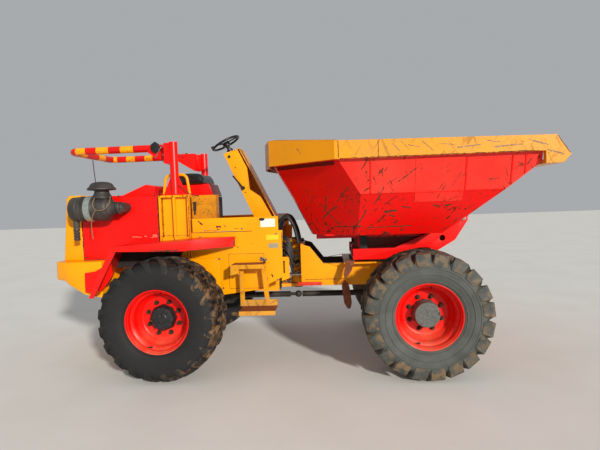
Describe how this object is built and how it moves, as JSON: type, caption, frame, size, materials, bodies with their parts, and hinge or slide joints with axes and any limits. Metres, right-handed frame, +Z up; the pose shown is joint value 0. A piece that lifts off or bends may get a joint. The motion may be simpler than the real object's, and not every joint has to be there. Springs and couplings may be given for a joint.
{
  "type": "site dumper",
  "caption": "Articulated site dumper with a swivelling, tipping skip in front of an open driver's place, a folding roll bar and wide worn tyres.",
  "frame": {"origin": "on the ground, half way between the axles, under the steering pivot", "axes": "+X forward, +Y to the machine's left, +Z up"},
  "size_m": [4.9, 2.32, 2.4376],
  "materials": {
    "red_paint": "worn gloss red paint",
    "yellow_paint": "worn gloss yellow paint",
    "worn_yellow": "scuffed, faded yellow paint",
    "dark_iron": "oily black-grey paint",
    "dark_plastic": "weathered dark grey",
    "tyre_dark": "worn tread with dried mud",
    "tyre_dusty": "dusty grey tread",
    "seat_cover": "black coated fabric",
    "hose_rubber": "black hose",
    "rusty_steel": "rusty",
    "black_ram": "black paint",
    "ram_chrome": "hard chrome"
  },
  "bodies": {
    "rear_chassis": {"rear_frame": "yellow_paint", "articulation_pins": "dark_iron", "counterweight": "yellow_paint", "radiator_cowl": "yellow_paint", "radiator_grille": "dark_iron", "engine_block": "dark_iron", "engine_side_panels": "red_paint", "air_cleaner": "dark_plastic", "rops_supports": "yellow_paint", "rops_posts": "red_paint", "grab_rails": "yellow_paint", "mudguards": "red_paint", "seat_platform": "yellow_paint", "seat_box": "red_paint", "seat": "seat_cover", "tool_box": "yellow_paint", "side_panels": "yellow_paint", "footwell_floor": "yellow_paint", "console": "yellow_paint", "controls": "dark_plastic", "steps": "yellow_paint", "rear_axle": "dark_iron", "rear_propshaft": "dark_iron", "hoses": "hose_rubber"},
    "bonnet": {"bonnet_lid": "red_paint"},
    "rops": {"rops_hoop": "red_paint"},
    "steering_wheel": {"steering_wheel": "dark_plastic"},
    "tool_lid_r": {"tool_lid_right": "yellow_paint"},
    "front_chassis": {"front_frame": "yellow_paint", "slew_ring": "dark_iron", "front_axle": "dark_iron", "front_propshaft": "dark_iron", "hanging_strap": "rusty_steel"},
    "swivel": {"swivel_frame": "red_paint"},
    "skip": {"skip_shell": "red_paint", "skip_rim": "worn_yellow", "tipping_pins": "dark_iron"},
    "tip_barrel": {"tip_ram_barrel": "black_ram"},
    "tip_rod": {"tip_ram_rod": "ram_chrome"},
    "steer_barrel": {"steer_ram_barrel": "black_ram"},
    "steer_rod": {"steer_ram_rod": "ram_chrome"},
    "wheel_rear_right": {"tyre_rear_right": "tyre_dark", "rim_rear_right": "red_paint"},
    "wheel_rear_left": {"tyre_rear_left": "tyre_dark", "rim_rear_left": "red_paint"},
    "wheel_front_right": {"tyre_front_right": "tyre_dusty", "rim_front_right": "red_paint"},
    "wheel_front_left": {"tyre_front_left": "tyre_dusty", "rim_front_left": "red_paint"}
  },
  "joints": [
    {"name": "articulation", "type": "hinge", "parent": "rear_chassis", "child": "front_chassis", "pos_m": [0, 0, 0.97], "axis": [0, 0, 1], "range_deg": [-30, 30], "deforming": ["hoses"]},
    {"name": "skip_swivel", "type": "hinge", "parent": "front_chassis", "child": "swivel", "pos_m": [1.02, 0, 1.03], "axis": [0, 0, -1], "range_deg": [-90, 90]},
    {"name": "skip_tip", "type": "hinge", "parent": "swivel", "child": "skip", "pos_m": [1.74, 0, 1.43], "axis": [0, 1, 0], "range_deg": [0, 60]},
    {"name": "tip_ram_barrel", "type": "hinge", "parent": "swivel", "child": "tip_barrel", "pos_m": [0.66, 0, 1.128], "axis": [0, -1, 0], "range_deg": [0, 38.5]},
    {"name": "tip_ram_rod", "type": "slide", "parent": "tip_barrel", "child": "tip_rod", "axis": [0.9912, 0, 0.1327], "range_m": [0, 0.33]},
    {"name": "steer_ram_barrel", "type": "hinge", "parent": "rear_chassis", "child": "steer_barrel", "pos_m": [-0.4, -0.2, 0.86], "axis": [0, 0, 1], "range_deg": [-10, 10]},
    {"name": "steer_ram_rod", "type": "slide", "parent": "steer_barrel", "child": "steer_rod", "axis": [1, 0, 0], "range_m": [-0.104, 0.104]},
    {"name": "steering_wheel", "type": "hinge", "parent": "rear_chassis", "child": "steering_wheel", "pos_m": [-0.771, 0, 2.353], "axis": [-0.454, 0, 0.891], "range_deg": [-720, 720]},
    {"name": "rops_fold", "type": "hinge", "parent": "rear_chassis", "child": "rops", "pos_m": [-1.4, 0, 2.27], "axis": [0, 1, 0], "range_deg": [0, 90]},
    {"name": "bonnet_hinge", "type": "hinge", "parent": "rear_chassis", "child": "bonnet", "pos_m": [-1.485, 0, 1.784], "axis": [0, 1, 0], "range_deg": [0, 60]},
    {"name": "tool_lid_right_hinge", "type": "hinge", "parent": "rear_chassis", "child": "tool_lid_r", "pos_m": [-0.886, -0.5043, 1.753], "axis": [-1, 0, 0], "range_deg": [0, 80]},
    {"name": "wheel_rear_right", "type": "hinge", "parent": "rear_chassis", "child": "wheel_rear_right", "pos_m": [-1.24, -0.91, 0.586], "axis": [0, 1, 0], "continuous": true},
    {"name": "wheel_rear_left", "type": "hinge", "parent": "rear_chassis", "child": "wheel_rear_left", "pos_m": [-1.24, 0.91, 0.586], "axis": [0, 1, 0], "continuous": true},
    {"name": "wheel_front_right", "type": "hinge", "parent": "front_chassis", "child": "wheel_front_right", "pos_m": [1.24, -0.91, 0.586], "axis": [0, 1, 0], "continuous": true},
    {"name": "wheel_front_left", "type": "hinge", "parent": "front_chassis", "child": "wheel_front_left", "pos_m": [1.24, 0.91, 0.586], "axis": [0, 1, 0], "continuous": true}
  ],
  "couplings": [
    {"joint": "tip_ram_barrel", "follows": "skip_tip", "ratio": 0.6345},
    {"joint": "tip_ram_rod", "follows": "skip_tip", "m_per_rad": 0.3128},
    {"joint": "steer_ram_barrel", "follows": "articulation", "ratio": 0.3243},
    {"joint": "steer_ram_rod", "follows": "articulation", "m_per_rad": 0.1969},
    {"joint": "steering_wheel", "follows": "articulation", "ratio": 24}
  ]
}
